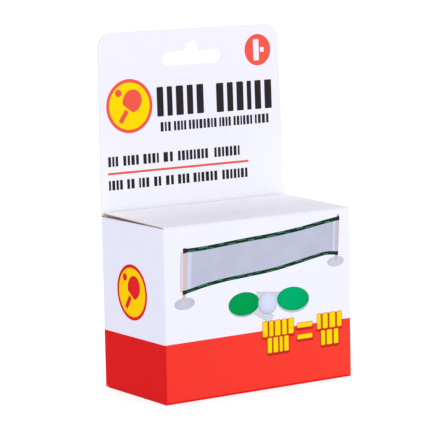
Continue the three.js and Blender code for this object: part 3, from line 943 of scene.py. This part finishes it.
BAT_PLASTIC = moulded("bat_core_plastic", (236, 232, 222), 0.42, subsurface=0.06)
BAT_RUBBER = pimpled("bat_rubber_face", (0, 146, 78), 1.1)
BALL_PLASTIC = moulded("ball_plastic", (242, 240, 246), 0.36, grain=0.05, subsurface=0.15)
POST_PLASTIC = moulded("post_plastic", (224, 198, 184), 0.46, subsurface=0.08)
CUP_RUBBER = moulded("suction_cup_rubber", (216, 221, 225), 0.22, grain=0.04, transmission=0.55)
NETTING = cloth("netting_weave", (120, 116, 136), (206, 202, 218), 1.1)
TAPE_CLOTH = cloth("net_tape_braid", (8, 40, 26), (34, 124, 72), 0.45, slant=1.6)
HEM_CLOTH = cloth("net_hem_cloth", (196, 200, 214), (240, 240, 244), 0.5)
THREAD = moulded("stitch_thread", (150, 206, 208), 0.7)


def lathe(profile, steps=72, closed=False):
    """Turns a line of (radius, height) points about the upright axis."""
    points, faces, rings = [], [], []
    for radius, height in profile:
        count = 1 if radius < 1e-6 else steps
        rings.append([len(points) + i for i in range(count)])
        angles = [2 * pi * i / steps for i in range(count)]
        points += [(radius * cos(a), radius * sin(a), height) for a in angles]
    pairs = list(zip(rings, rings[1:] + rings[:1]))
    for low, high in pairs if closed else pairs[:-1]:
        for i in range(steps):
            j = (i + 1) % steps
            corners = [low[i % len(low)], low[j % len(low)], high[j % len(high)], high[i % len(high)]]
            faces.append(list(dict.fromkeys(corners)))
    return points, faces


def skinned(rings, count, way=1):
    """Faces between equal rings of points, and over both ends."""
    faces = []
    for ring in range(rings - 1):
        a, b = ring * count, (ring + 1) * count
        faces += [(a + i, a + (i + 1) % count, b + (i + 1) % count, b + i) for i in range(count)]
    first, last = list(range(count)), list(range((rings - 1) * count, rings * count))
    return faces + [first[::-way], last[::way]]


def slab(outline, thickness, edge, steps=4):
    """A plate of a convex outline with rounded edges, lying in its own x and y."""
    count = len(outline)
    normals = []
    for i in range(count):
        (x0, y0), (x1, y1) = outline[i - 1], outline[(i + 1) % count]
        reach = hypot(x1 - x0, y1 - y0)
        normals.append(((y1 - y0) / reach, -(x1 - x0) / reach))
    levels = arc(edge, thickness / 2 - edge, edge, 180, 90, steps)
    levels = [(inset, -height) for inset, height in reversed(levels)] + levels
    points = []
    for inset, height in levels:
        points += [(x - nx * inset, y - ny * inset, height) for (x, y), (nx, ny) in zip(outline, normals)]
    return points, skinned(len(levels), count)


def mesh_of(name, shape, place=Matrix.Identity(4)):
    points, faces = shape
    mesh = bpy.data.meshes.new(name)
    mesh.from_pydata([place @ Vector(p) * MM for p in points], [], faces)
    shell = bmesh.new()
    shell.from_mesh(mesh)
    bmesh.ops.recalc_face_normals(shell, faces=shell.faces)
    shell.to_mesh(mesh)
    shell.free()
    return mesh


def piece(name, mesh, material, slot, *nodes, sharp=40):
    """Adds a rigid piece of the set, which rides in the carton."""
    mesh.materials.clear()
    mesh.materials.append(material)
    mesh.shade_smooth()
    mesh.set_sharp_from_angle(angle=radians(sharp))
    made = linked(name, mesh)
    if nodes:
        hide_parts(*nodes)
    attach(made, "carton")
    return made


def joined(first, second):
    """The union of two closed meshes."""
    objects = [linked("part", mesh) for mesh in (first, second)]
    union = objects[0].modifiers.new("union", "BOOLEAN")
    union.operation, union.solver, union.object = "UNION", "EXACT", objects[1]
    bpy.context.view_layer.update()
    result = bpy.data.meshes.new_from_object(objects[0].evaluated_get(bpy.context.evaluated_depsgraph_get()))
    for part in objects:
        bpy.data.objects.remove(part)
    return result


BLADE_WIDTH, BLADE_LENGTH = 44.0, 47.0
CORE = 2.4
THROAT = 7.0


def make_bat(prefix, handle_up):
    low, high = box_mm(prefix + "_core")
    blade_z = low.z + BLADE_LENGTH / 2 if handle_up else high.z - BLADE_LENGTH / 2
    way = -1 if handle_up else 1
    centre = (*middle(prefix + "_core")[:2], blade_z)
    upright = Matrix(((way, 0, 0, 0), (0, 0, -way, 0), (0, way, 0, 0), (0, 0, 0, 1)))
    place = Matrix.Translation(centre) @ upright
    blade = slab(oval(0, 0, BLADE_WIDTH / 2, BLADE_LENGTH / 2, steps=120), CORE, 0.7)
    foot = -BLADE_LENGTH / 2 - (high.z - low.z - BLADE_LENGTH)
    throat = -BLADE_LENGTH / 2 + THROAT - 1.2
    handle = softened([(-5.0, foot), (5.0, foot), (4.0, throat), (-4.0, throat)], 2.8, closed=True, steps=8)
    handle = slab(handle, high.y - low.y, 1.5, 5)
    core = joined(mesh_of(prefix + "_blade", blade, place), mesh_of(prefix + "_grip", handle, place))
    piece(prefix + "_blade_and_grip", core, BAT_PLASTIC, "bat_core", prefix + "_core", sharp=30)
    inset = 1.2
    half_across, half_length = BLADE_WIDTH / 2 - inset, BLADE_LENGTH / 2 - inset
    cut = degrees(asin((BLADE_LENGTH / 2 - THROAT) / half_length))
    angles = np.radians(np.linspace(-cut, 180 + cut, 90))
    face = [(half_across * cos(a), half_length * sin(a)) for a in angles]
    for word, side in (("front", -1), ("back", 1)):
        node = f"{prefix}_{word}_rubber"
        at = middle(node)[1] - centre[1]
        lifted = Matrix.Translation((0, at, 0)) @ place
        skin = mesh_of(node, slab(softened(face, 0.6, closed=True, steps=2), 1.0, 0.25, 3), lifted)
        piece(node + "_skin", skin, BAT_RUBBER, "bat_rubber", node, sharp=50)


def make_ball():
    radius = half_width("ball")
    steps = 48
    profile = arc(0, 0, radius, -90, 90, steps)
    seam = [(radius, -0.22), (radius + 0.035, -0.12), (radius + 0.035, 0.12), (radius, 0.22)]
    equator = steps // 2
    profile = profile[:equator] + seam + profile[equator + 1 :]
    tilt = Matrix.Rotation(radians(34), 4, "X") @ Matrix.Rotation(radians(20), 4, "Y")
    mesh = mesh_of("ball_shell", lathe(profile, 96), Matrix.Translation(middle("ball")) @ tilt)
    piece("ball_shell", mesh, BALL_PLASTIC, "ball", "ball", sharp=60)


def add_weave(mesh, places):
    """Each point's place on the cloth, which its threads follow."""
    weave = mesh.attributes.new("weave", "FLOAT_VECTOR", "POINT")
    weave.data.foreach_set("vector", np.array(places, np.float32).ravel())


def make_post(word):
    """A post, its suction cup, and the sewn hem of the net round it."""
    post_node, cup_node, hem_node = "post_" + word, "suction_cup_" + word, f"net_{word}_hem"
    low, high = box_mm(post_node)
    hem_low, hem_high = box_mm(hem_node)
    place = Matrix.Translation((*middle(post_node)[:2], 0))
    radius = half_width(post_node)
    post = [(0, low.z), (radius, low.z), (radius, high.z - 0.9), (radius * 0.72, high.z), (0, high.z)]
    rod = mesh_of("post_rod", lathe(softened(post, 0.6), 40), place)
    piece("post_rod_" + word, rod, POST_PLASTIC, "post", post_node)
    rim, foot, top = half_width(cup_node), box_mm(cup_node)[0].z, box_mm(cup_node)[1].z
    neck, socket, floor = 4.6, radius + 0.3, low.z - 0.3
    hollow = curve([(0, foot + 3), (rim * 0.6, foot + 3), (rim * 0.8, foot + 0.6), (rim * 0.95, foot)], 14)
    dome = [(rim, foot + 0.6), (rim * 0.84, foot + 3.0), (neck * 1.5, foot + 4.2), (neck, foot + 6.4)]
    collar = [(neck, top - 1.2), (neck + 0.25, top - 0.9), (neck + 0.25, top - 0.35), (neck - 0.2, top)]
    inside = [(socket + 0.3, top), (socket, top - 0.4), (socket, floor), (0, floor)]
    cup = hollow + [(rim, foot)] + curve(dome, 14) + softened(collar + inside, 0.2, steps=2)
    mesh = mesh_of("cup", lathe(cup, 80), place)
    piece("cup_" + word, mesh, CUP_RUBBER, "suction_cup", cup_node, sharp=35)
    inner, outer = radius + 0.3, half_width(hem_node)
    ring = softened(rectangle(inner, hem_low.z, outer, hem_high.z), 0.25, True, 2)
    hem = mesh_of("hem", lathe(ring, 48, closed=True), place)
    turns = [v.co - place.translation * MM for v in hem.vertices]
    add_weave(hem, [(atan2(p.y, p.x) * outer * MM, p.z, 0.0) for p in turns])
    sewn = piece(hem_node + "_sleeve", hem, HEM_CLOTH, "net_hem", hem_node, sharp=50)
    return sewn, make_stitches(word, place, outer, hem_low.z, hem_high.z)


def make_stitches(word, place, radius, low, high):
    """A row of short stitches up the hem, closed capsules laid on its cloth."""
    points, faces = [], []
    side = radians(215 if word == "left" else 325)
    pitch, length, thick = 1.6, 1.0, 0.12
    capsule = [(0.0, 0.0), (thick, 0.15), (thick, length - 0.15), (0.0, length)]
    shape, shape_faces = lathe(capsule, 6)
    for i in range(int((high - low - 2) / pitch)):
        first = len(points)
        x0, y0, z0 = radius * cos(side), radius * sin(side), low + 1 + i * pitch
        points += [(x0 + x, y0 + y, z0 + z) for x, y, z in shape]
        faces += [[first + v for v in face] for face in shape_faces]
    mesh = mesh_of("stitches", (points, faces), place)
    return piece(f"net_{word}_hem_stitches", mesh, THREAD, "net_hem", sharp=60)


ROLL_PITCH, ROLL_TURNS = 0.9, 3.5


def roll_line():
    """The rolled net's middle line, seen from above: out of one roll, straight across, into the other."""
    (x0, y, _), (x1, _, _) = middle("post_left"), middle("post_right")
    start = half_width("net_left_hem") + 0.3 + 0.3
    steps_per_turn = 40
    line = []
    for i in range(int(ROLL_TURNS * steps_per_turn) + 1):
        turn = i / steps_per_turn
        radius = start + ROLL_PITCH * turn
        angle = pi / 2 + 2 * pi * (ROLL_TURNS - turn)
        line.append((x0 + radius * cos(angle), y + radius * sin(angle)))
    other = [(x0 + x1 - x, y) for x, y in reversed(line)]
    (xa, ya), (xb, _) = line[-1], other[0]
    across = [(xa + (xb - xa) * i / 12, ya) for i in range(1, 12)]
    return line + across + other


def band(name, node, section, material, slot):
    """A woven piece: a closed section of (outwards, height) points swept along the rolled net's line."""
    line = roll_line()
    points, along, travelled = [], [], 0.0
    for i, (x, y) in enumerate(line):
        before, after = line[max(i - 1, 0)], line[min(i + 1, len(line) - 1)]
        reach = dist(before, after)
        nx, ny = (after[1] - before[1]) / reach, -(after[0] - before[0]) / reach
        travelled += dist(line[i - 1], (x, y)) if i else 0.0
        points += [(x + nx * out, y + ny * out, z) for out, z in section]
        along += [(travelled * MM, z * MM, 0.0) for _, z in section]
    mesh = mesh_of(name, (points, skinned(len(line), len(section), -1)))
    add_weave(mesh, along)
    return piece(name, mesh, material, slot, node, sharp=55)


def net_section(low, high):
    """A thin section whose middle wanders a little, as slack netting does."""
    half_thickness, rows = 0.15, 20

    def wander(z):
        return 0.09 * sin((z - low) * 0.55) + 0.05 * sin((z - low) * 1.7 + 1.0)

    heights = [low + (high - low) * i / rows for i in range(rows + 1)]
    outer = [(half_thickness + wander(z), z) for z in heights]
    return outer + [(-half_thickness + wander(z), z) for z in reversed(heights)]


def make_net():
    mesh_low, mesh_high = box_mm("net_mesh")
    section = net_section(mesh_low.z, mesh_high.z)
    netting = band("net_rolled", "net_mesh", section, NETTING, "netting")
    on_net = []
    for word in ("top", "bottom"):
        low, high = box_mm(f"net_{word}_tape")
        centre, half = (low.z + high.z) / 2, (high.z - low.z) / 2
        section = [(0.3 * x, centre + half * z) for x, z in oval(0, 0, 1, 1, steps=14)]
        on_net.append(band(f"net_{word}_tape_braid", f"net_{word}_tape", section, TAPE_CLOTH, "net_tape"))
    for word in ("left", "right"):
        on_net += make_post(word)


make_bat("bat_1", True)
make_bat("bat_2", False)
make_ball()
make_net()


# --- Camera, light and floor ---


def make_camera():
    """The photograph's viewpoint: 33 degrees round to the left, 8 degrees down, through a long lens."""
    data = bpy.data.cameras.new("camera")
    data.sensor_width = 36
    data.lens = 196.63
    data.clip_end = 50
    camera = linked("camera", data)
    turn, pitch, roll = radians(-33.512), radians(7.845), radians(-1.197)
    camera.location = (-0.58264, -0.87097, 0.22087)
    aim = Euler((pi / 2 - pitch, 0, turn), "XYZ").to_matrix()
    camera.rotation_euler = (aim @ Matrix.Rotation(roll, 3, "Z")).to_euler()
    scene.camera = camera


def make_studio():
    floor_mesh = bpy.data.meshes.new("floor")
    reach = 12.0
    corners = [(x, y, 0) for x, y in rectangle(-reach, -reach, reach, reach)]
    floor_mesh.from_pydata(corners, [], [(0, 1, 2, 3)])
    floor = linked("floor", floor_mesh)
    glow = {"Emission_Color": (1, 1, 1, 1), "Emission_Strength": 0.68}
    paper = Nodes("pale_floor").finished((0.42, 0.42, 0.42, 1), 0.9, Specular_IOR_Level=0.1, **glow)
    floor_mesh.materials.append(paper)
    world = bpy.data.worlds.new("studio")
    world.use_nodes = True
    sky = world.node_tree.nodes["Background"].inputs
    sky["Color"].default_value = (1, 1, 1, 1)
    sky["Strength"].default_value = 1.0
    scene.world = world
    softbox = bpy.data.lights.new("front_softbox", "AREA")
    softbox.shape, softbox.size, softbox.energy = "SQUARE", 1.2, 6.9
    light = linked("front_softbox", softbox)
    light.location = place = Vector((0.55, -1.6, 0.75))
    carton_middle = Vector((0, 0, 0.07))
    light.rotation_euler = (carton_middle - place).to_track_quat("-Z", "Y").to_euler()
    scene.view_settings.view_transform = "Standard"


make_camera()
make_studio()
